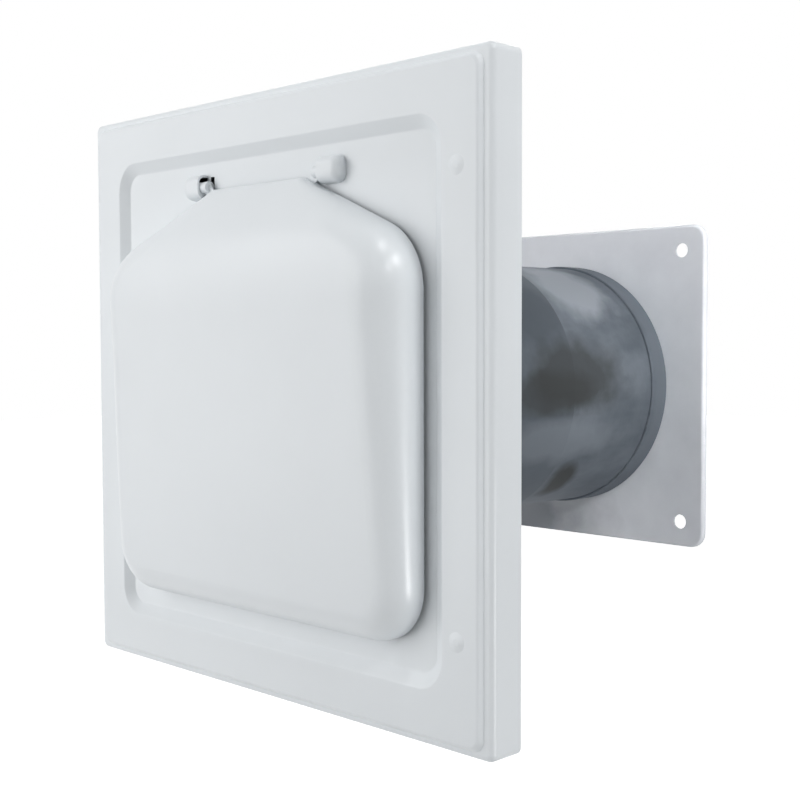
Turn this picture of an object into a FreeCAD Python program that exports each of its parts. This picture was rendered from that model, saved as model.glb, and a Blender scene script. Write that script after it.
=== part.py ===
import FreeCAD, Part
import math
import os
import Sketcher
from FreeCAD import Placement, Rotation, Vector

# Dryer vent cap for a 4 inch duct: a stamped face plate with a hinged hood-shaped flap, a duct that
# telescopes to suit the wall, and a plate for the inside of the wall.
# Millimetres. X to the right seen from outside, Y into the wall, Z up. The origin is on the duct's
# axis, in the plane where the face plate's skirt meets the outside of the wall.

SIZES = (
    # Face plate
    ("plate_side", 210.4, "width and height of the face plate"),
    ("plate_corner", 2.6, "corner radius of the face plate"),
    ("skirt_depth", 12.9, "from the wall to the front of the plate's border"),
    ("sheet", 0.8, "thickness of the painted sheet"),
    ("bend_radius", 2.0, "outside radius of the bend round the border"),
    ("side_strip", 1.5, "flat strip between the bend and the step, at the sides"),
    ("end_strip", 0.4, "flat strip between the bend and the step, at the top and the foot"),
    ("step_width", 1.2, "run of the step up to the raised field"),
    ("step_height", 1.65, "rise of the raised field"),
    ("field_corner", 4.0, "corner radius of the raised field"),
    ("field_band", 14.2, "width of the raised field round the sunk panel"),
    ("recess_corner", 10.5, "corner radius of the sunk panel at the field"),
    ("recess_depth", 2.55, "from the field down to the panel"),
    ("recess_slope", 4.3, "run of the slope round the panel"),
    ("recess_edge", 1.3, "rounding at the top and the foot of that slope"),
    ("dimple_diameter", 6.2, "foot of the two domed marks at the right of the field"),
    ("dimple_top", 2.2, "flat top of a mark"),
    ("dimple_height", 0.45, "rise of a mark"),
    ("dimple_side", 6.0, "from the sunk panel's side to a mark"),
    ("dimple_drop", 16.8, "from the level of the sunk panel's end to a mark"),
    # Duct
    ("duct_diameter", 101.6, "outside of the front tube"),
    ("tube_wall", 0.6, "wall of both tubes"),
    ("front_tube_reach", 97.1, "from the wall face to the front tube's far end"),
    ("tube_flange", 5.0, "width of the front tube's flange behind the panel"),
    ("tube_bend", 1.6, "bend radius of that flange"),
    ("neck_length", 10.0, "neck drawn from the panel into the front tube"),
    ("neck_bend", 2.0, "rounding at the neck's mouth"),
    ("neck_fit", 0.05, "radial clearance of the neck in the tube"),
    ("sleeve_fit", 0.3, "radial clearance of the rear sleeve in the front tube"),
    ("sleeve_overlap", 40.0, "how far the rear sleeve enters the front tube"),
    ("bead_length", 10.0, "bead rolled in the sleeve in front of the rear plate"),
    ("bead_rise", 0.9, "how far the bead stands out"),
    ("bead_round", 0.4, "rounding of the bead's edges"),
    ("sleeve_flare", 4.0, "width of the sleeve's flare behind the rear plate"),
    ("sleeve_bend", 1.0, "bend radius of the flare"),
    # Rear plate
    ("wall_depth", 158.6, "thickness of the wall that the cap is set for"),
    ("rear_side", 18.35, "rear plate beyond the sleeve, at the sides"),
    ("rear_end", 15.8, "rear plate beyond the sleeve, at the top and the foot"),
    ("rear_corner", 6.5, "corner radius of the rear plate"),
    ("rear_sheet", 0.8, "thickness of the rear plate"),
    ("rear_lip", 2.5, "depth of the lip folded back round the rear plate"),
    ("rear_bend", 1.2, "outside radius of that fold"),
    ("rear_fit", 0.1, "radial clearance of the flare's bend in the rear plate"),
    ("rear_hole_diameter", 5.8, "screw holes in the rear plate"),
    ("rear_hole_side", 10.75, "screw holes from the rear plate's sides"),
    ("rear_hole_end", 10.2, "screw holes from the rear plate's top and foot"),
    # Flap
    ("flap_gap", 1.2, "between the panel and the flap's rim"),
    ("flap_side_gap", 8.6, "from the sunk panel's side to the flap's rim"),
    ("flap_foot_gap", 12.4, "from the sunk panel's lower end to the flap's rim"),
    ("flap_top_gap", 14.4, "from the sunk panel's upper end to the flap's rim"),
    ("flap_top_width", 48.0, "length of the flap's upper edge"),
    ("shoulder_drop", 23.4, "from the flap's upper edge down to the corner of its shoulder"),
    ("shoulder_radius", 23.0, "rounding of the shoulder, seen from the front"),
    ("foot_radius", 18.0, "rounding of the lower corners, seen from the front"),
    ("foot_bulge", 11.3, "depth of the hood at its lower edge"),
    ("crown_drop", 28.0, "from the flap's upper edge down to the fold of the hood"),
    ("crown_bulge", 18.8, "depth of the hood at that fold, before rounding"),
    ("crown_radius", 48.0, "rounding of that fold"),
    ("top_bulge", 3.2, "depth of the hood at its upper edge"),
    ("crown_edge", 14.5, "rounding of the hood's edge at the shoulders"),
    ("foot_edge", 10.3, "rounding of the hood's edge along its foot"),
    ("top_edge", 3.2, "rounding of the hood's edge at the upper edge"),
    ("even_gap", 4.5, "below the shoulder's arc, to where the sides' rounding is that of the shoulder"),
    # Hinge
    ("hinge_rise", 1.4, "hinge line above the flap's upper edge"),
    ("ear_radius", 2.1, "radius of the flap's hinge ears"),
    ("ear_fit", 0.05, "radial clearance of an ear in its pocket"),
    ("ear_start", 4.8, "from the end of the upper edge to the start of an ear"),
    ("ear_length", 9.4, "length of an ear"),
    ("tab_run", 2.2, "run of the tab's ramp up to the ear"),
    ("tab_round", 3.0, "hollow of that ramp"),
    ("pocket_start", 3.4, "from the start of an ear to the open end of its pocket"),
    ("pocket_length", 9.7, "length of a hinge pocket"),
    ("pocket_wall", 2.0, "thickness of a pocket's closed end"),
    ("pocket_rise", 4.6, "top of a pocket above the hinge line"),
    ("pocket_lip", 2.0, "thickness of a pocket's rolled lower edge"),
    ("pocket_bulge", 4.5, "how far a pocket stands out of the panel"),
    ("top_round", 3.0, "rounding of a pocket's upper edge"),
    ("lip_round", 3.5, "rounding of a pocket's lower edge"),
    ("end_round", 2.8, "rounding of a pocket's closed end"),
    ("well_start", 0.8, "from the well behind an ear to the start of the ear"),
    ("well_depth", 4.0, "depth of that well behind the panel's front"),
    ("finger_start", 1.5, "from the start of an ear to the finger that hangs into its well"),
    ("finger_gap", 0.4, "between the finger and the ear"),
)

doc = FreeCAD.newDocument("DryerVentCap")
sheet = doc.addObject("Spreadsheet::Sheet", "Sizes")
for row, (alias, number, note) in enumerate(SIZES, 1):
    sheet.set(f"A{row}", note)
    sheet.set(f"B{row}", str(number))
    sheet.setAlias(f"B{row}", alias)
doc.recompute()


class Size:
    """A length: its number, and the expression that binds it to the sheet."""

    def __init__(self, value, text):
        self.value = value
        self.text = text

    def combine(self, other, sign, value):
        right = other.text if isinstance(other, Size) else str(other)
        return Size(value, f"({self.text} {sign} {right})")

    def __add__(self, other):
        return self.combine(other, "+", self.value + plain(other))

    def __sub__(self, other):
        return self.combine(other, "-", self.value - plain(other))

    def __mul__(self, other):
        return self.combine(other, "*", self.value * plain(other))

    def __truediv__(self, other):
        return self.combine(other, "/", self.value / plain(other))

    def __neg__(self):
        return self * -1


def plain(length):
    """The number of a size, or the number itself."""
    return length.value if isinstance(length, Size) else length


def root(length):
    return Size(math.sqrt(length.value), f"sqrt({length.text})")


def size(alias):
    return Size(float(sheet.get(alias)), f"Sizes.{alias}")


# Places that several pieces share, worked out from the sheet. Depths in front of the wall are
# counted forwards.
on_axis = size("sheet") * 0
border_front = size("skirt_depth")
field_front = border_front + size("step_height")
panel_front = field_front - size("recess_depth")
panel_back = panel_front - size("sheet")
field_width = size("plate_side") - (size("bend_radius") + size("side_strip") + size("step_width")) * 2
field_height = size("plate_side") - (size("bend_radius") + size("end_strip") + size("step_width")) * 2
recess_width = field_width - size("field_band") * 2
recess_height = field_height - size("field_band") * 2
tube_bore = size("duct_diameter") / 2 - size("tube_wall")
neck_bore = tube_bore - size("neck_fit") - size("sheet")
sleeve_radius = tube_bore - size("sleeve_fit")
sleeve_bore = sleeve_radius - size("tube_wall")
sleeve_start = size("front_tube_reach") - size("sleeve_overlap")
rear_back = size("wall_depth") + size("rear_sheet")
rim_forward = panel_front + size("flap_gap")
flap_half = recess_width / 2 - size("flap_side_gap")
flap_foot = recess_height / 2 - size("flap_foot_gap")
flap_top = recess_height / 2 - size("flap_top_gap")
top_half = size("flap_top_width") / 2
shoulder_height = flap_top - size("shoulder_drop")
shoulder_run = flap_half - top_half
shoulder_slant = root(shoulder_run * shoulder_run + size("shoulder_drop") * size("shoulder_drop"))
shoulder_arc = size("shoulder_radius") * (shoulder_slant - size("shoulder_drop")) / shoulder_run
even_height = shoulder_height - shoulder_arc - size("even_gap")
crown_height = flap_top - size("crown_drop")
hood_rise = (size("crown_bulge") - size("foot_bulge")) / (crown_height + flap_foot)
hood_fall = (size("crown_bulge") - size("top_bulge")) / size("crown_drop")
rise_slant = root(hood_rise * hood_rise + 1)
fall_slant = root(hood_fall * hood_fall + 1)
half_turn = (hood_rise + hood_fall) / (rise_slant * fall_slant + 1 - hood_rise * hood_fall)
fade_height = crown_height + size("crown_radius") * half_turn / fall_slant
hinge_height = flap_top + size("hinge_rise")
ear_root = top_half + size("ear_start")
ear_seat = size("ear_radius") + size("ear_fit")
pocket_front = panel_front + size("pocket_bulge")
hinge_forward = pocket_front - size("sheet") - ear_seat
pocket_floor = hinge_height - ear_seat
pocket_top = hinge_height + size("pocket_rise")
pocket_ceiling = pocket_top - size("sheet")
pocket_mouth = ear_root + size("pocket_start")
pocket_end = pocket_mouth + size("pocket_length")


def new_body(label):
    body = doc.addObject("PartDesign::Body", label)
    body.Label = label
    return body


def new_sketch(body, name, role, offset):
    """An empty sketch on one of the body's own planes, moved along that plane's normal."""
    sketch = body.newObject("Sketcher::SketchObject", name)
    plane = next(item for item in body.Origin.OriginFeatures if item.Role == role)
    sketch.AttachmentSupport = [(plane, "")]
    sketch.MapMode = "FlatFace"
    if offset is not None:
        sketch.setExpression("AttachmentOffset.Base.z", offset.text)
    return sketch


def bind(sketch, constraint, length):
    index = sketch.addConstraint(constraint)
    sketch.setExpression(f"Constraints[{index}]", length.text)


def locate(sketch, curve, point, across, up):
    """Fixes a point of the sketch at its two distances from the origin."""
    for kind, length in (("DistanceX", across), ("DistanceY", up)):
        if length.value > 0:
            bind(sketch, Sketcher.Constraint(kind, -1, 1, curve, point, length.value), length)
        else:
            bind(sketch, Sketcher.Constraint(kind, curve, point, -1, 1, -length.value), -length)


def corner_arc(before, corner, after, radius):
    """Tangent points of a rounded corner, whether it turns left, and its arc, drawn leftwards."""
    back = (before - corner).normalize()
    on = (after - corner).normalize()
    half = math.acos(back.dot(on)) / 2
    reach = radius / math.tan(half)
    middle = corner + (back + on).normalize() * (radius / math.sin(half))
    start = corner + back * reach
    end = corner + on * reach
    left_turn = on.cross(back).z > 0
    first, last = (start, end) if left_turn else (end, start)
    angles = [math.atan2(point.y - middle.y, point.x - middle.x) for point in (first, last)]
    return start, end, left_turn, Part.ArcOfCircle(Part.Circle(middle, Vector(0, 0, 1), radius), *angles)


def outline(body, name, role, corners, offset=None):
    """A closed outline of straight sides. Each corner is (across, up, radius), radius None if sharp."""
    sketch = new_sketch(body, name, role, offset)
    points = [Vector(across.value, up.value, 0) for across, up, radius in corners]
    starts, ends, arcs = [], [], {}
    for i, (across, up, radius) in enumerate(corners):
        start = end = points[i]
        if radius is not None:
            after = points[(i + 1) % len(points)]
            start, end, left_turn, arc = corner_arc(points[i - 1], points[i], after, radius.value)
            arcs[i] = (arc, (1, 2) if left_turn else (2, 1))
        starts.append(start)
        ends.append(end)
    sides = zip(ends, starts[1:] + starts[:1])
    lines = [sketch.addGeometry(Part.LineSegment(end, start)) for end, start in sides]
    for i, (across, up, radius) in enumerate(corners):
        side_in, side_out = lines[i - 1], lines[i]
        if radius is None:
            sketch.addConstraint(Sketcher.Constraint("Coincident", side_in, 2, side_out, 1))
            locate(sketch, side_out, 1, across, up)
            continue
        curve, (first, last) = arcs[i]
        arc = sketch.addGeometry(curve)
        mark = sketch.addGeometry(Part.Point(points[i]), True)
        sketch.addConstraint(Sketcher.Constraint("PointOnObject", mark, 1, side_in))
        sketch.addConstraint(Sketcher.Constraint("PointOnObject", mark, 1, side_out))
        sketch.addConstraint(Sketcher.Constraint("Tangent", side_in, 2, arc, first))
        sketch.addConstraint(Sketcher.Constraint("Tangent", arc, last, side_out, 1))
        bind(sketch, Sketcher.Constraint("Radius", arc, radius.value), radius)
        locate(sketch, mark, 1, across, up)
    return sketch


def rectangle(body, name, width, height, corner, forward):
    """A rounded rectangle about the duct's axis, facing the front, at a distance from the wall."""
    across, up = width / 2, height / 2
    corners = [(-across, -up, corner), (across, -up, corner), (across, up, corner), (-across, up, corner)]
    return outline(body, name, "XZ_Plane", corners, forward)


def circles(body, name, places, diameter, forward):
    """Equal circles facing the front."""
    sketch = new_sketch(body, name, "XZ_Plane", forward)
    for across, up in places:
        middle = Vector(across.value, up.value, 0)
        ring = sketch.addGeometry(Part.Circle(middle, Vector(0, 0, 1), diameter.value / 2))
        bind(sketch, Sketcher.Constraint("Radius", ring, diameter.value / 2), diameter / 2)
        locate(sketch, ring, 3, across, up)
    return sketch


def four_places(across, up):
    return [(across * side, up * level) for side in (-1, 1) for level in (-1, 1)]


def feature(body, kind, name, profile, length=None, reverse=False):
    """Adds a feature to a body, and gives it with the body's volume before it."""
    doc.recompute()
    before = body.Shape.Volume if not body.Shape.isNull() else 0.0
    item = body.newObject(f"PartDesign::{kind}", name)
    item.Profile = profile
    if length is not None:
        item.setExpression("Length", length.text)
        item.Reversed = reverse
    return item, before


def check_change(body, item, before):
    """Recomputes, and checks that a feature adds or takes away as its kind should."""
    doc.recompute()
    grown = body.Shape.Volume - before
    adds = item.TypeId.split("::")[1] in ("Pad", "AdditiveLoft", "Revolution")
    if grown == 0 or (grown > 0) != adds:
        raise RuntimeError(f"{item.Name} changed the volume by {grown}")
    return item


def pad(body, name, profile, length, reverse=False):
    return check_change(body, *feature(body, "Pad", name, profile, length, reverse))


def pocket(body, name, profile, length, reverse=False):
    return check_change(body, *feature(body, "Pocket", name, profile, length, reverse))


def loft(body, kind, name, profile, section):
    item, before = feature(body, kind, name, profile)
    item.Sections = [section]
    item.Ruled = True
    return check_change(body, item, before)


def revolve(body, name, profile):
    """Turns a profile of radius and depth round the duct's axis."""
    item, before = feature(body, "Revolution", name, profile)
    item.ReferenceAxis = (profile, ["V_Axis"])
    item.Angle = 360
    return check_change(body, item, before)


def fillet(body, name, radius, wanted):
    """Rounds the edges of the body's tip that the test picks out."""
    base = body.Tip
    names = [f"Edge{i}" for i, edge in enumerate(base.Shape.Edges, 1) if wanted(edge)]
    item = body.newObject("PartDesign::Fillet", name)
    item.Base = (base, names)
    item.setExpression("Radius", radius.text)
    doc.recompute()
    return item


def at_depth(forward, tolerance=1e-4):
    """Test for an edge that lies whole at a distance in front of the wall."""
    def test(edge):
        box = edge.BoundBox
        return abs(box.YMin + forward.value) < tolerance and abs(box.YMax + forward.value) < tolerance
    return test


def ring_profile(body, name, bore, wall, face, end, bend, rim):
    """Section of a round wall whose end turns outwards into a flat rim.

    face is the depth of the rim's outer face, end that of the wall's far end, bend the rounding
    between the rim's face and the bore, and rim the rim's outside radius.
    """
    inner_face = face + wall if end.value > face.value else face - wall
    corners = [(bore, end, None), (bore, face, bend), (rim, face, None),
               (rim, inner_face, None), (bore + wall, inner_face, bend - wall), (bore + wall, end, None)]
    return outline(body, name, "XY_Plane", corners)


def stamp_field(body):
    """The border, the skirt behind it and the raised field, as a thin pressing open at the back."""
    side, thick, step = size("plate_side"), size("sheet"), size("step_width")
    corner, corner_above = size("field_corner"), size("field_corner") - step / 2
    wide, high = field_width + step * 2, field_height + step * 2
    block = rectangle(body, "SkirtOutline", side, side, size("plate_corner"), border_front)
    pad(body, "SkirtBlock", block, border_front, True)
    fillet(body, "BorderBend", size("bend_radius"), at_depth(border_front))
    foot = rectangle(body, "FieldFoot", wide, high, corner, border_front)
    top = rectangle(body, "FieldTop", field_width, field_height, corner_above, field_front)
    loft(body, "AdditiveLoft", "RaisedField", foot, top)
    inner = side - thick * 2
    hollow = rectangle(body, "SkirtHollow", inner, inner, size("plate_corner") - thick, on_axis)
    pocket(body, "SkirtInside", hollow, border_front - thick, True)
    fillet(body, "BendInside", size("bend_radius") - thick, at_depth(border_front - thick))
    under_foot = rectangle(body, "FieldFootInside", wide - thick, high - thick, corner, border_front - thick)
    under_top = rectangle(body, "FieldTopInside", field_width - thick, field_height - thick, corner_above,
                          field_front - thick)
    loft(body, "SubtractiveLoft", "FieldInside", under_foot, under_top)


def stamp_recess(body):
    """The sunk panel: a shallow dish added behind the field, then pressed in from the front."""
    width, height, corner = recess_width, recess_height, size("recess_corner")
    slope, thick = size("recess_slope"), size("sheet")
    wider = thick * 2 / 3
    back_rim = rectangle(body, "DishRim", width + wider, height + wider, corner, field_front - thick)
    back_floor = rectangle(body, "DishFloor", width + wider - slope * 2, height + wider - slope * 2,
                           corner - slope, panel_back)
    loft(body, "AdditiveLoft", "Dish", back_rim, back_floor)
    rim = rectangle(body, "RecessRim", width, height, corner, field_front)
    floor = rectangle(body, "RecessFloor", width - slope * 2, height - slope * 2, corner - slope, panel_front)
    loft(body, "SubtractiveLoft", "Recess", rim, floor)
    fillet(body, "RecessFoot", size("recess_edge"), at_depth(panel_front))
    half = width.value / 2 + size("recess_edge").value
    on_field = at_depth(field_front)
    fillet(body, "RecessEdge", size("recess_edge"), lambda edge: on_field(edge) and edge.BoundBox.XMax < half)


def draw_neck(body):
    """The duct's opening, with the neck that the front tube is pressed onto."""
    rim = neck_bore + size("neck_bend") + size("sheet")
    mouth = (neck_bore + size("neck_bend")) * 2
    opening = circles(body, "DuctOpening", [(on_axis, on_axis)], mouth, panel_front)
    pocket(body, "DuctHole", opening, size("sheet") * 2)
    profile = ring_profile(body, "NeckProfile", neck_bore, size("sheet"), -panel_front,
                           size("neck_length") - panel_back, size("neck_bend"), rim)
    revolve(body, "Neck", profile)


def form_hinge(body, side):
    """One hinge pocket, open towards the middle, and the well that gives its ear room."""
    hand = "Right" if side > 0 else "Left"
    thick = size("sheet")
    deep, base = pocket_front - thick, -panel_front + thick / 2
    lip = pocket_floor - size("pocket_lip")
    shell = [(base, pocket_top, None), (-pocket_front, pocket_top, size("top_round")),
             (-pocket_front, lip, size("lip_round")), (base, lip, None)]
    profile = outline(body, f"{hand}PocketShell", "YZ_Plane", shell, pocket_mouth * side)
    pad(body, f"{hand}Pocket", profile, size("pocket_length"), side < 0)
    closed = pocket_end.value

    def closed_end(edge):
        box = edge.BoundBox
        at_end = abs(box.XMin * side - closed) < 1e-4 and abs(box.XMax * side - closed) < 1e-4
        return at_end and box.YMin < -panel_front.value - 1e-4

    fillet(body, f"{hand}PocketRound", size("end_round"), closed_end)
    inner, outer = ear_root - size("well_start"), pocket_end - size("pocket_wall")
    low, high = pocket_floor - thick, pocket_ceiling + thick
    back = [(inner - thick, low), (outer + thick, low), (outer + thick, high), (inner - thick, high)]
    block = outline(body, f"{hand}WellOutline", "XZ_Plane", [(x * side, z, None) for x, z in back],
                    panel_front - thick / 2)
    pad(body, f"{hand}WellBack", block, size("well_depth") + thick / 2, True)
    room = [(base, pocket_ceiling, None), (-deep, pocket_ceiling, size("top_round") - thick),
            (-deep, pocket_floor, ear_seat), (base, pocket_floor, None)]
    hollow = outline(body, f"{hand}PocketRoom", "YZ_Plane", room, pocket_mouth * side)
    pocket(body, f"{hand}PocketInside", hollow, outer - pocket_mouth, side > 0)
    finger = ear_root + size("finger_start")
    finger_foot = hinge_height + size("ear_radius") + size("finger_gap")
    edge = [(inner, pocket_floor), (outer, pocket_floor), (outer, pocket_ceiling),
            (pocket_mouth, pocket_ceiling), (pocket_mouth, finger_foot), (finger, finger_foot),
            (finger, pocket_ceiling), (inner, pocket_ceiling)]
    well = outline(body, f"{hand}WellEdge", "XZ_Plane", [(x * side, z, None) for x, z in edge], panel_front)
    pocket(body, f"{hand}Well", well, size("well_depth"))


def raise_mark(body, level):
    """One of the two domed marks at the right of the raised field."""
    hand = "Upper" if level > 0 else "Lower"
    place = [(recess_width / 2 + size("dimple_side"), (recess_height / 2 - size("dimple_drop")) * level)]
    foot = circles(body, f"{hand}MarkFoot", place, size("dimple_diameter"), field_front)
    top = circles(body, f"{hand}MarkTop", place, size("dimple_top"), field_front + size("dimple_height"))
    loft(body, "AdditiveLoft", f"{hand}Mark", foot, top)


def make_face_plate():
    body = new_body("face_plate")
    stamp_field(body)
    stamp_recess(body)
    draw_neck(body)
    for side in (-1, 1):
        form_hinge(body, side)
    for level in (-1, 1):
        raise_mark(body, level)
    return body


def make_front_tube():
    """The front tube: its flange lies behind the panel, round the neck."""
    body = new_body("front_tube")
    rim = size("duct_diameter") / 2 + size("tube_flange")
    profile = ring_profile(body, "TubeProfile", tube_bore, size("tube_wall"), -panel_back,
                           size("front_tube_reach"), size("tube_bend"), rim)
    revolve(body, "Tube", profile)
    return body


def make_rear_sleeve():
    """The rear sleeve: it slides in the front tube, and its bead and its flare hold the rear plate."""
    body = new_body("rear_sleeve")
    wall, bend, rounding = size("tube_wall"), size("sleeve_bend"), size("bead_round")
    plate_front, face = size("wall_depth"), rear_back + size("tube_wall")
    bead_start = plate_front - size("bead_length")
    bead_bore, bead_radius = sleeve_bore + size("bead_rise"), sleeve_radius + size("bead_rise")
    rim = sleeve_radius + size("sleeve_flare")
    corners = [(sleeve_bore, sleeve_start, None), (sleeve_bore, bead_start + wall, None),
               (bead_bore, bead_start + wall, None), (bead_bore, plate_front - wall, None),
               (sleeve_bore, plate_front - wall, None), (sleeve_bore, face, bend), (rim, face, None),
               (rim, rear_back, None), (sleeve_radius, rear_back, bend - wall),
               (sleeve_radius, plate_front, None), (bead_radius, plate_front, rounding),
               (bead_radius, bead_start, rounding), (sleeve_radius, bead_start, None),
               (sleeve_radius, sleeve_start, None)]
    revolve(body, "Sleeve", outline(body, "SleeveProfile", "XY_Plane", corners))
    return body


def make_rear_plate():
    """The plate for the inside of the wall, with a lip folded back round it."""
    body = new_body("rear_plate")
    width = (sleeve_radius + size("rear_side")) * 2
    height = (sleeve_radius + size("rear_end")) * 2
    thick, front = size("rear_sheet"), -size("wall_depth")
    face = rectangle(body, "PlateOutline", width, height, size("rear_corner"), front)
    pad(body, "PlateBlock", face, size("rear_lip"), True)
    fillet(body, "PlateFold", size("rear_bend"), at_depth(front))
    inside = rectangle(body, "PlateInside", width - thick * 2, height - thick * 2,
                       size("rear_corner") - thick, front - size("rear_lip"))
    pocket(body, "PlateHollow", inside, size("rear_lip") - thick, True)
    reach = sleeve_radius + size("sleeve_bend") - size("tube_wall") + size("rear_fit")
    opening = circles(body, "SleeveOpening", [(on_axis, on_axis)], reach * 2, front)
    pocket(body, "SleeveHole", opening, thick * 2)
    places = four_places(width / 2 - size("rear_hole_side"), height / 2 - size("rear_hole_end"))
    holes = circles(body, "ScrewHoles", places, size("rear_hole_diameter"), front)
    pocket(body, "ScrewHolesCut", holes, thick * 2)
    return body


def hood_blank(name, inset):
    """The hood before its edges are rounded, set in all round by a distance.

    It is the rim's outline, cut in front to the side view. The inset one starts behind the rim.
    """
    body = new_body(f"{name}Blank")
    body.AllowCompound = False
    half, foot, top = flap_half - inset, flap_foot - inset, flap_top - inset
    drop = size("shoulder_drop")
    shoulder = shoulder_height - inset * (shoulder_slant - drop) / shoulder_run
    upper = top_half - inset * (shoulder_slant - shoulder_run) / drop
    shoulder_round, foot_round = size("shoulder_radius") - inset, size("foot_radius") - inset
    rim = [(-half, -foot, foot_round), (half, -foot, foot_round), (half, shoulder, shoulder_round),
           (upper, top, None), (-upper, top, None), (-half, shoulder, shoulder_round)]
    profile = outline(body, f"{name}Rim", "XZ_Plane", rim, rim_forward - inset)
    reach = size("crown_bulge") + size("sheet") * 2
    pad(body, f"{name}Block", profile, reach)
    over = size("sheet") * 2
    rise_inset, fall_inset = inset * rise_slant, inset * fall_slant
    crown_shift = (rise_inset - fall_inset) / (hood_rise + hood_fall)
    front_at_foot = size("foot_bulge") - hood_rise * over - rise_inset
    front_at_crown = size("crown_bulge") + hood_rise * crown_shift - rise_inset
    front_at_top = size("top_bulge") - hood_fall * over - fall_inset
    front = -rim_forward - reach * 2
    above = [(front, -flap_foot - over, None), (-rim_forward - front_at_foot, -flap_foot - over, None),
             (-rim_forward - front_at_crown, crown_height + crown_shift, size("crown_radius") - inset),
             (-rim_forward - front_at_top, flap_top + over, None), (front, flap_top + over, None)]
    trim = outline(body, f"{name}SideView", "YZ_Plane", above)
    item, before = feature(body, "Pocket", f"{name}Front", trim, flap_half * 4)
    item.Midplane = True
    check_change(body, item, before)
    return body


def edge_radius(point):
    """Rounding of the hood's edge at a height: even round each corner, and changing in between."""
    foot, full, top = size("foot_edge").value, size("crown_edge").value, size("top_edge").value
    lower = (size("foot_radius") - flap_foot).value
    steps = [(lower, foot), (even_height.value, full), (fade_height.value, full), (flap_top.value, top)]
    if point.z <= lower:
        return foot
    for (low, from_radius), (high, to_radius) in zip(steps, steps[1:]):
        if point.z <= high:
            return from_radius + (to_radius - from_radius) * (point.z - low) / (high - low)
    return top


def hood_edges(shape, inset):
    """The edges between the hood's front and its walls, each with its rounding at both ends."""
    rows = []
    rim = -rim_forward.value
    for index, edge in enumerate(shape.Edges, 1):
        middle = edge.valueAt((edge.FirstParameter + edge.LastParameter) / 2)
        faces = shape.ancestorsOfType(edge, Part.Face)
        walls = [face for face in faces if abs(face.normalAt(*face.Surface.parameter(middle)).y) < 1e-4]
        if len(walls) == 1 and edge.BoundBox.YMax < rim - 1:
            ends = [edge.valueAt(place) for place in (edge.FirstParameter, edge.LastParameter)]
            rows.append((index, *[edge_radius(end) - inset.value for end in ends]))
    return rows


def hood_form(name, inset):
    """The hood as a solid, its edge rounded by a radius that runs from the upper edge to the foot."""
    blank = hood_blank(name, inset)
    form = doc.addObject("Part::Fillet", f"{name}Form")
    form.Base = blank
    form.Edges = hood_edges(blank.Shape, inset)
    doc.recompute()
    return form


def make_hood():
    """The drawn hood: its form, hollowed by the same form set in by the sheet."""
    hood = doc.addObject("Part::Cut", "Hood")
    hood.Base = hood_form("Outer", on_axis)
    hood.Tool = hood_form("Inner", size("sheet"))
    return hood


def make_ear(side):
    """One hinge ear: a round-nosed pin along the hinge line, on a tab from the flap's rim."""
    hand = "Right" if side > 0 else "Left"
    radius, run, thick = size("ear_radius"), size("tab_run"), size("sheet")
    nose = ear_root + size("ear_length") - radius
    pin = doc.addObject("Part::Cylinder", f"{hand}EarPin")
    ball = doc.addObject("Part::Sphere", f"{hand}EarNose")
    pin.setExpression("Height", (nose - ear_root).text)
    pin.Placement = Placement(Vector(), Rotation(Vector(0, 1, 0), 90 * side))
    for item, across in ((pin, ear_root), (ball, nose)):
        item.setExpression("Radius", radius.text)
        item.setExpression("Placement.Base.x", (across * side).text)
        item.setExpression("Placement.Base.y", (-hinge_forward).text)
        item.setExpression("Placement.Base.z", hinge_height.text)
    body = new_body(f"{hand}EarTab")
    fall = size("shoulder_drop") / shoulder_run
    tip = ear_root + run
    rim_at_ear = flap_top - fall * size("ear_start")
    points = [(top_half - run, flap_top - thick / 2, None),
              (ear_root - run, flap_top + thick / 4, size("tab_round")),
              (ear_root + thick, hinge_height + radius, None), (tip, hinge_height + radius, None),
              (tip, hinge_height - radius, None), (ear_root, rim_at_ear - thick / 2, None)]
    profile = outline(body, f"{hand}TabOutline", "XZ_Plane", [(x * side, z, r) for x, z, r in points],
                      hinge_forward - thick / 2)
    pad(body, f"{hand}Tab", profile, thick)
    return [pin, ball, body]


def make_flap():
    pieces = [make_hood()]
    for side in (-1, 1):
        pieces += make_ear(side)
    flap = doc.addObject("Part::MultiFuse", "damper_flap")
    flap.Shapes = pieces
    flap.Label = "damper_flap"
    return flap


def write_parts(pieces):
    """Checks the whole document, then writes one file for each piece."""
    doc.recompute()
    for item in doc.Objects:
        if "Invalid" in item.State or "Error" in item.State:
            raise RuntimeError(f"{item.Label} failed: {item.State}")
    for piece in pieces:
        shape = piece.Shape
        if shape.isNull() or not shape.isValid() or len(shape.Solids) != 1:
            raise RuntimeError(f"{piece.Label} isn't one valid solid")
    os.makedirs("parts", exist_ok=True)
    for piece in pieces:
        piece.Shape.exportStep(os.path.join("parts", f"{piece.Label}.step"))
        print(piece.Label, round(piece.Shape.Volume, 1), piece.Shape.BoundBox)


write_parts([make_face_plate(), make_flap(), make_front_tube(), make_rear_sleeve(), make_rear_plate()])
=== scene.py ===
import math

import bpy
from mathutils import Matrix, Vector


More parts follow.
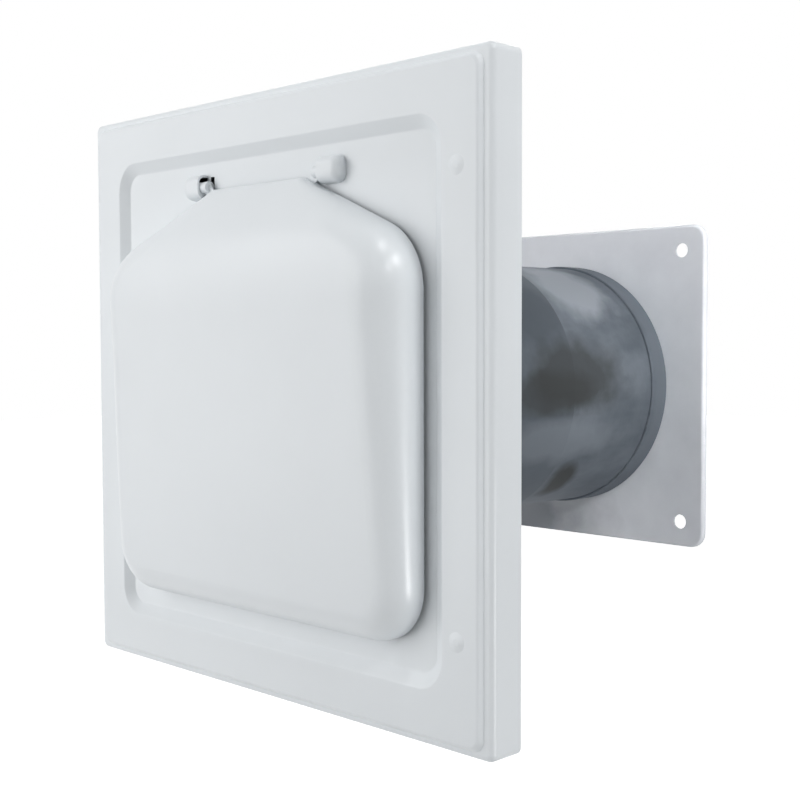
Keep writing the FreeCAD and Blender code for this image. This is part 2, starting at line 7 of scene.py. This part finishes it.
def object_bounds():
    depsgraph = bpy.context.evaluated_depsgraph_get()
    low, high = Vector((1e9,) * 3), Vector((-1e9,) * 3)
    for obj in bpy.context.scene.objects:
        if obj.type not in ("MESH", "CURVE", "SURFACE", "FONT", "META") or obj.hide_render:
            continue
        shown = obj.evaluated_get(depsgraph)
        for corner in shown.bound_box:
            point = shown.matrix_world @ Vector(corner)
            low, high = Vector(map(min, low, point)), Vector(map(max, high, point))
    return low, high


# The camera as solved from the photograph: metres, degrees, and millimetres for lens and sensor
CAMERA_TARGET = Vector((0.06716, -0.0129, 0.0008))
CAMERA_DISTANCE = 0.39945
CAMERA_AZIMUTH = 45.145
CAMERA_ELEVATION = 2.673
CAMERA_ROLL = -0.163
CAMERA_LENS = 58.03
SENSOR = 36.0
CLIP_START = 0.01

# The floor: how far below the cap, its size, its grey, and the glow that makes it look white
FLOOR_DROP = 0.30
FLOOR_SIZE = 12.0
FLOOR_GREY = (0.57, 0.57, 0.57, 1.0)
FLOOR_ROUGHNESS = 0.9
FLOOR_GLOW = 0.88

# Light from all round, which fades from the room's level towards the studio's dim side, the camera's
ROOM_LIGHT = 0.32
ROOM_TINT = (0.96, 0.98, 1.0, 1.0)
DIM_LIGHT = 0.0
DIM_SIDE = (0.7, -0.7, 0.0)
DIM_START = -0.1
DIM_END = 0.8
PURE_WHITE = (1.0, 1.0, 1.0, 1.0)

# Edges that turn less than this many degrees are shaded smooth
SMOOTH_ANGLE = 28

# Most of a noise's values lie between these two
NOISE_LOW = 0.3
NOISE_HIGH = 0.7

# Colours of the paint, of the painted shade inside a hinge well, of the zinc, of what has settled on the
# zinc, and of the shade and highlight painted on the zinc and on the plate
WHITE = (0.79, 0.824, 0.848)
PAINT_SHADE = 0.98
# painted shade: near black, for the dark hollow inside a hinge well
WELL_PAINTED_SHADE = (0.06, 0.063, 0.067, 1.0)
SLATE = (0.074, 0.086, 0.101)
FRONT_LIGHT = (0.100, 0.114, 0.131)
REAR_LIGHT = (0.132, 0.149, 0.171)
# the soot of the stains, and also the colour of the painted shade along the tubes' underside
SOOT_AND_SHADE = (0.036, 0.038, 0.038)
DUSK = (0.05, 0.058, 0.068)
BAND = (0.105, 0.12, 0.138)
HAZE = (0.165, 0.184, 0.208)
# pale colour of the painted highlight on top of the rear sleeve
PALE = (0.26, 0.279, 0.307)
PLATE_DARK = (0.55, 0.565, 0.60)
PLATE_LIGHT = (0.64, 0.655, 0.686)

# Roughness at the low and at the high end of the noise behind it
PAINT_ROUGHNESS = (0.285, 0.34)
ZINC_ROUGHNESS = (0.58, 0.72)
PLATE_ROUGHNESS = (0.46, 0.54)

# The zinc's pattern: the shares of its three noises, the ends of its colours and of its roughness
CLOUD_SHARE = 0.6
STREAK_SHARE = 0.25
MOTTLE_SHARE = 0.15
ZINC_DARK_END = 0.36
ZINC_LIGHT_START = 0.66
ZINC_SMOOTH_END = 0.35
ZINC_ROUGH_START = 0.7
ROUND_THE_TUBE = (1.0, 0.25, 1.0)
ZINC_EDGE_TINT = (0.5, 0.52, 0.54, 1.0)

# Painted shade in the opening of each hinge well, a near-black box that stands for the dark hollow: its
# middle and half its size, for the well at the right
WELL_ACROSS = 0.03395
WELL_ALONG = -0.00975
WELL_UP = 0.0752
WELL_REACH = (0.0064, 0.00205, 0.0034)

# How soft and how ragged the edge of a spot is, as shares of its reach: first for the stains, painted
# shade and painted highlight on the zinc, then for the painted duct shadow on the plate
STAIN_AND_SHADE_EDGE = 0.45
STAIN_AND_SHADE_RAGGED = 0.14
DUCT_SHADOW_EDGE = 0.7
DUCT_SHADOW_RAGGED = 0.1
RAGGED_SIZE = 0.012

# Longer than the part: a stain with this reach goes right round the tube
ALL_ROUND = 9.0

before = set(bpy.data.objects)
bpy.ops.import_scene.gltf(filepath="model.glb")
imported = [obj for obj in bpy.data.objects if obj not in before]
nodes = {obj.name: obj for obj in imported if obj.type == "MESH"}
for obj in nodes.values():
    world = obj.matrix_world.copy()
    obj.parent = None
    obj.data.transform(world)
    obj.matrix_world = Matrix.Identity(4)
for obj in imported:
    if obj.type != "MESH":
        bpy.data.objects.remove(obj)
cad_box = [list(corner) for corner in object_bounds()]


class Shader:
    """A node material, with short ways to add nodes and join them."""

    def __init__(self, name):
        self.material = bpy.data.materials.new(name)
        self.material.use_nodes = True
        self.tree = self.material.node_tree
        self.surface = self.tree.nodes["Principled BSDF"]
        self.place = self.add("ShaderNodeTexCoord").outputs["Object"]

    def add(self, kind, settings=None, inputs=None):
        """A new node, with its settings and what goes into its inputs."""
        node = self.tree.nodes.new(kind)
        for name, value in (settings or {}).items():
            setattr(node, name, value)
        for name, value in (inputs or {}).items():
            self.put(node.inputs[name], value)
        return node

    def put(self, socket, value):
        """Join another node's output to an input, or give the input a fixed value."""
        if isinstance(value, bpy.types.NodeSocket):
            self.tree.links.new(value, socket)
        else:
            socket.default_value = value

    def set(self, **inputs):
        """Inputs of the surface, by name with _ for each space."""
        for name, value in inputs.items():
            self.put(self.surface.inputs[name.replace("_", " ")], value)

    def stretched(self, scale):
        """Object coordinates, scaled by a number for each axis."""
        node = self.add("ShaderNodeMapping", None, {"Vector": self.place, "Scale": scale})
        return node.outputs["Vector"]

    def noise(self, size, detail=3.0, roughness=0.5, place=None):
        """Noise whose features are about size metres across."""
        inputs = {
            "Vector": place or self.place,
            "Scale": 1.0 / size,
            "Detail": detail,
            "Roughness": roughness,
        }
        return self.add("ShaderNodeTexNoise", None, inputs).outputs["Fac"]

    def ramp(self, value, low, first, high, second):
        """One colour up to the low value, another from the high value on, and a blend between them."""
        node = self.add("ShaderNodeValToRGB", None, {"Fac": value})
        stops = ((low, first), (high, second))
        for element, (position, colour) in zip(node.color_ramp.elements, stops):
            element.position = position
            element.color = (*colour, 1.0)
        return node.outputs["Color"]

    def remap(self, value, low, high, to_low, to_high):
        """A value's range from low to high, stretched to another range."""
        inputs = {
            "Value": value,
            "From Min": low,
            "From Max": high,
            "To Min": to_low,
            "To Max": to_high,
        }
        return self.add("ShaderNodeMapRange", None, inputs).outputs["Result"]

    def mix(self, factor, first, second):
        """The first colour at factor 0 and the second at factor 1."""
        node = self.add("ShaderNodeMix", {"data_type": "RGBA"})
        sockets = [socket for socket in node.inputs if socket.enabled]
        for socket, value in zip(sockets, (factor, first, second)):
            self.put(socket, value)
        return next(socket for socket in node.outputs if socket.enabled)

    def math(self, operation, first, second):
        """One operation on two numbers."""
        node = self.add("ShaderNodeMath", {"operation": operation})
        self.put(node.inputs[0], first)
        self.put(node.inputs[1], second)
        return node.outputs[0]

    def vector(self, operation, first, second=None):
        """One operation on one or two vectors."""
        node = self.add("ShaderNodeVectorMath", {"operation": operation})
        self.put(node.inputs[0], first)
        if second is not None:
            self.put(node.inputs[1], second)
        return next(socket for socket in node.outputs if socket.enabled)

    def shares(self, middle, reach):
        """The way from a place, as shares of its reach along each axis."""
        return self.vector("DIVIDE", self.vector("SUBTRACT", self.place, middle), reach)

    def spot(self, middle, reach, edge, ragged):
        """1 at a place and 0 beyond its reach along each axis, with a soft and ragged edge."""
        far = self.vector("LENGTH", self.shares(middle, reach))
        uneven = self.noise(size=RAGGED_SIZE, detail=4.0)
        wander = self.remap(uneven, NOISE_LOW, NOISE_HIGH, -ragged, ragged)
        return self.remap(self.math("ADD", far, wander), 1.0 - edge, 1.0, 1.0, 0.0)

    def block(self, middle, reach, edge=0.03):
        """1 inside a box and 0 outside it. The reach is half its size along each axis."""
        away = self.vector("ABSOLUTE", self.shares(middle, reach))
        across, along, up = self.add("ShaderNodeSeparateXYZ", None, {"Vector": away}).outputs
        far = self.math("MAXIMUM", self.math("MAXIMUM", across, along), up)
        return self.remap(far, 1.0 - edge, 1.0, 1.0, 0.0)

    def bump(self, height, strength, distance):
        """A relief from a height, up to distance metres deep."""
        inputs = {"Height": height, "Strength": strength, "Distance": distance}
        node = self.add("ShaderNodeBump", None, inputs)
        self.put(self.surface.inputs["Normal"], node.outputs["Normal"])


def white_paint(name, painted_well_shade):
    """White powder coat: a slight orange peel, uneven gloss, a faint change of tone, and painted shade,
    near black, in the boxes of the given hinge wells.
    """
    shader = Shader(name)
    tone = shader.noise(size=0.045, detail=4.0)
    shaded = [channel * PAINT_SHADE for channel in WHITE]
    colour = shader.ramp(tone, NOISE_LOW, shaded, NOISE_HIGH, WHITE)
    # painted shade: each hinge well's opening is coloured near black, as the hollow's shade
    for middle, reach in painted_well_shade:
        colour = shader.mix(shader.block(middle, reach), colour, WELL_PAINTED_SHADE)
    gloss = shader.remap(shader.noise(size=0.03), NOISE_LOW, NOISE_HIGH, *PAINT_ROUGHNESS)
    shader.set(Base_Color=colour, Roughness=gloss, Specular_IOR_Level=0.45)
    peel = shader.noise(size=0.0014, detail=2.0)
    shader.bump(peel, strength=0.03, distance=0.0002)
    return shader.material


def galvanised(name, light, stains_and_painted_light):
    """Dull zinc-coated sheet: clouds, faint streaks round the tube, a fine mottle, and the spots it is
    given: stains, painted shade along the underside, and a painted highlight on top.
    """
    shader = Shader(name)
    clouds = shader.noise(size=0.026, detail=4.0, roughness=0.55)
    streaks = shader.noise(size=0.010, roughness=0.6, place=shader.stretched(ROUND_THE_TUBE))
    mottle = shader.noise(size=0.0032, roughness=0.6)
    mixed = shader.math("MULTIPLY", clouds, CLOUD_SHARE)
    for noise, share in ((streaks, STREAK_SHARE), (mottle, MOTTLE_SHARE)):
        mixed = shader.math("ADD", mixed, shader.math("MULTIPLY", noise, share))
    colour = shader.ramp(mixed, ZINC_DARK_END, SLATE, ZINC_LIGHT_START, light)
    # stains, plus painted shade and a painted highlight that stand for how light falls on the tube
    for middle, reach, tint, strength in stains_and_painted_light:
        mask = shader.spot(middle, reach, STAIN_AND_SHADE_EDGE, STAIN_AND_SHADE_RAGGED)
        colour = shader.mix(shader.math("MULTIPLY", mask, strength), colour, (*tint, 1.0))
    gloss = shader.remap(mixed, ZINC_SMOOTH_END, ZINC_ROUGH_START, *ZINC_ROUGHNESS)
    shader.set(Base_Color=colour, Roughness=gloss, Metallic=0.25)
    shader.set(Specular_IOR_Level=0.12, Specular_Tint=ZINC_EDGE_TINT)
    shader.bump(mixed, strength=0.05, distance=0.0003)
    return shader.material


def zinc_plate(name, painted_duct_shadow):
    """Pale plated sheet: a soft, uneven tone, a very fine grain, and a painted shadow of the duct below
    it.
    """
    shader = Shader(name)
    tone = shader.noise(size=0.035, detail=5.0, roughness=0.6)
    colour = shader.ramp(tone, NOISE_LOW, PLATE_DARK, NOISE_HIGH, PLATE_LIGHT)
    # painted shadow: the duct's cast shadow, coloured slate on the plate below the duct
    middle, reach, tint, strength = painted_duct_shadow
    mask = shader.spot(middle, reach, DUCT_SHADOW_EDGE, DUCT_SHADOW_RAGGED)
    colour = shader.mix(shader.math("MULTIPLY", mask, strength), colour, (*tint, 1.0))
    grain = shader.noise(size=0.0016, detail=2.0)
    gloss = shader.remap(grain, NOISE_LOW, NOISE_HIGH, *PLATE_ROUGHNESS)
    shader.set(Base_Color=colour, Roughness=gloss, Metallic=0.12, Specular_IOR_Level=0.2)
    shader.bump(grain, strength=0.03, distance=0.0002)
    return shader.material


def smooth_group():
    """Geometry nodes that shade smooth across every edge that turns less than a set angle."""
    group = bpy.data.node_groups.new("smooth_by_angle", "GeometryNodeTree")
    for way in ("INPUT", "OUTPUT"):
        group.interface.new_socket("Geometry", in_out=way, socket_type="NodeSocketGeometry")
    start = group.nodes.new("NodeGroupInput")
    end = group.nodes.new("NodeGroupOutput")
    angle = group.nodes.new("GeometryNodeInputMeshEdgeAngle")
    flat = group.nodes.new("FunctionNodeCompare")
    flat.operation = "LESS_THAN"
    flat.inputs["B"].default_value = math.radians(SMOOTH_ANGLE)
    faces = group.nodes.new("GeometryNodeSetShadeSmooth")
    edges = group.nodes.new("GeometryNodeSetShadeSmooth")
    edges.domain = "EDGE"
    group.links.new(angle.outputs["Unsigned Angle"], flat.inputs["A"])
    group.links.new(start.outputs[0], faces.inputs["Geometry"])
    group.links.new(faces.outputs["Geometry"], edges.inputs["Geometry"])
    group.links.new(flat.outputs["Result"], edges.inputs["Shade Smooth"])
    group.links.new(edges.outputs["Geometry"], end.inputs[0])
    return group


def dress_nodes():
    """Materials and smooth shading on the CAD nodes. Each stain, painted shade, painted highlight and
    painted shadow is middle, reach, colour, strength.
    """
    patch = ((0.050, 0.100, 0.005), (0.03, 0.036, 0.0165), SOOT_AND_SHADE, 0.75)
    trail = ((0.050, 0.083, -0.001), (0.03, 0.036, 0.0105), SOOT_AND_SHADE, 0.7)
    haze = ((0.047, 0.092, -0.019), (0.03, 0.042, 0.010), HAZE, 0.55)
    dusk = ((0.042, 0.080, 0.030), (0.02, 0.026, 0.016), DUSK, 0.55)
    # painted shade: the underside of both tubes darkened, where less light falls
    painted_underside_shade = ((0.012, 0.080, -0.056), (0.032, 0.08, 0.012), SOOT_AND_SHADE, 0.8)
    blot = ((0.035, 0.109, -0.0365), (0.014, 0.0095, 0.0115), SOOT_AND_SHADE, 0.95)
    # painted highlight: a pale patch on top of the rear sleeve, where the overhead light falls
    painted_top_highlight = ((0.030, 0.120, 0.040), (0.03, 0.024, 0.018), PALE, 0.75)
    ring = ((0.0, 0.158, 0.0), (ALL_ROUND, 0.0105, ALL_ROUND), BAND, 0.8)
    # painted shadow of the duct on the rear plate, below the duct
    painted_duct_shadow = ((-0.026, 0.158, -0.060), (0.056, 0.02, 0.024), SLATE, 0.8)
    front_stains_and_shade = [patch, trail, haze, dusk, painted_underside_shade]
    rear_stains_shade_and_highlight = [patch, trail, haze, painted_underside_shade, blot, painted_top_highlight, ring]
    # the boxes of painted shade in the two hinge wells
    painted_well_shade = [((side * WELL_ACROSS, WELL_ALONG, WELL_UP), WELL_REACH) for side in (-1, 1)]
    finish = {
        "face_plate": white_paint("white_plate", painted_well_shade),
        "damper_flap": white_paint("white_flap", []),
        "front_tube": galvanised("galvanised_front", FRONT_LIGHT, front_stains_and_shade),
        "rear_sleeve": galvanised("galvanised_rear", REAR_LIGHT, rear_stains_shade_and_highlight),
        "rear_plate": zinc_plate("zinc_plate", painted_duct_shadow),
    }
    smoothing = smooth_group()
    for name, material in finish.items():
        mesh = nodes[name].data
        mesh.materials.clear()
        mesh.materials.append(material)
        nodes[name].modifiers.new("smooth", "NODES").node_group = smoothing


def background_rays(tree):
    """1 for the rays that show the background: from the camera, off a gloss, and through glass."""
    path = tree.nodes.new("ShaderNodeLightPath")
    shown = path.outputs["Is Camera Ray"]
    for name in ("Is Glossy Ray", "Is Transmission Ray"):
        most = tree.nodes.new("ShaderNodeMath")
        most.operation = "MAXIMUM"
        tree.links.new(shown, most.inputs[0])
        tree.links.new(path.outputs[name], most.inputs[1])
        shown = most.outputs[0]
    return shown


def make_floor(level):
    """A pale floor that looks white, also in a reflection, apart from the shadow on it."""
    mesh = bpy.data.meshes.new("floor")
    half = FLOOR_SIZE / 2
    sides = ((-1, -1), (1, -1), (1, 1), (-1, 1))
    corners = [(across * half, along * half, level) for across, along in sides]
    mesh.from_pydata(corners, [], [(0, 1, 2, 3)])
    floor = bpy.data.objects.new("floor", mesh)
    bpy.context.scene.collection.objects.link(floor)
    shader = Shader("floor")
    glow = shader.math("MULTIPLY", background_rays(shader.tree), FLOOR_GLOW)
    shader.set(Base_Color=FLOOR_GREY, Roughness=FLOOR_ROUGHNESS)
    shader.set(Emission_Color=PURE_WHITE, Emission_Strength=glow)
    mesh.materials.append(shader.material)


def make_world():
    """Studio light, dimmer from the camera's side, with a white background, also in reflections."""
    world = bpy.data.worlds.new("studio")
    bpy.context.scene.world = world
    world.use_nodes = True
    tree = world.node_tree
    place = tree.nodes.new("ShaderNodeTexCoord")
    towards = tree.nodes.new("ShaderNodeVectorMath")
    towards.operation = "DOT_PRODUCT"
    towards.inputs[1].default_value = DIM_SIDE
    tree.links.new(place.outputs["Generated"], towards.inputs[0])
    level = tree.nodes.new("ShaderNodeMapRange")
    level.interpolation_type = "SMOOTHSTEP"
    level.inputs["From Min"].default_value = DIM_START
    level.inputs["From Max"].default_value = DIM_END
    level.inputs["To Min"].default_value = ROOM_LIGHT
    level.inputs["To Max"].default_value = DIM_LIGHT
    tree.links.new(towards.outputs["Value"], level.inputs["Value"])
    light = tree.nodes["Background"]
    light.inputs["Color"].default_value = ROOM_TINT
    tree.links.new(level.outputs["Result"], light.inputs["Strength"])
    white = tree.nodes.new("ShaderNodeBackground")
    white.inputs["Color"].default_value = PURE_WHITE
    mix = tree.nodes.new("ShaderNodeMixShader")
    tree.links.new(background_rays(tree), mix.inputs["Fac"])
    tree.links.new(light.outputs["Background"], mix.inputs[1])
    tree.links.new(white.outputs["Background"], mix.inputs[2])
    tree.links.new(mix.outputs["Shader"], tree.nodes["World Output"].inputs["Surface"])


def area_light(name, place, target, size, power, spread=180):
    """A square lamp that faces a target: metres, watts, and degrees for its spread."""
    data = bpy.data.lights.new(name, "AREA")
    data.size = size
    data.energy = power
    data.spread = math.radians(spread)
    lamp = bpy.data.objects.new(name, data)
    bpy.context.scene.collection.objects.link(lamp)
    lamp.location = place
    lamp.rotation_euler = (Vector(target) - Vector(place)).to_track_quat("-Z", "Y").to_euler()


def make_lights():
    """A key at the left, three lights at the right, one overhead, one for the rear plate, one behind."""
    area_light("key", (-0.57, -0.84, 0.20), (-0.03, 0.0, 0.0), size=1.1, power=8.4)
    area_light("side", (1.2, 0.03, -0.32), (0.05, 0.0, -0.03), size=0.2, power=3.9)
    area_light("top", (0.30, -0.14, 0.85), (0.03, 0.02, 0.0), size=0.10, power=1.2)
    area_light("high", (0.75, 0.05, 0.75), (0.03, 0.10, 0.0), size=0.18, power=2.7)
    area_light("glint", (0.80, -0.30, 0.63), (0.06, 0.03, 0.02), size=0.08, power=1.05)
    area_light("rear", (0.42, -0.01, 0.18), (0.035, 0.158, 0.01), size=0.10, power=0.07, spread=32)
    area_light("back", (-0.80, 1.02, 0.30), (0.0, 0.08, 0.0), size=0.8, power=5.5)


def make_camera():
    """The photograph's camera, which looks at its target from the front right."""
    azimuth, elevation = math.radians(CAMERA_AZIMUTH), math.radians(CAMERA_ELEVATION)
    flat = math.cos(elevation)
    back = Vector((math.sin(azimuth) * flat, -math.cos(azimuth) * flat, math.sin(elevation)))
    level = Vector((math.cos(azimuth), math.sin(azimuth), 0.0))
    right = Matrix.Rotation(math.radians(CAMERA_ROLL), 3, back) @ level
    up = back.cross(right)
    data = bpy.data.cameras.new("camera")
    data.lens = CAMERA_LENS
    data.sensor_width = SENSOR
    data.clip_start = CLIP_START
    camera = bpy.data.objects.new("camera", data)
    bpy.context.scene.collection.objects.link(camera)
    axes = Matrix((right, up, back)).transposed().to_4x4()
    camera.matrix_world = Matrix.Translation(CAMERA_TARGET + back * CAMERA_DISTANCE) @ axes
    bpy.context.scene.camera = camera


dress_nodes()
make_floor(cad_box[0][2] - FLOOR_DROP)
make_world()
make_lights()
make_camera()
bpy.context.scene.view_settings.view_transform = "Standard"
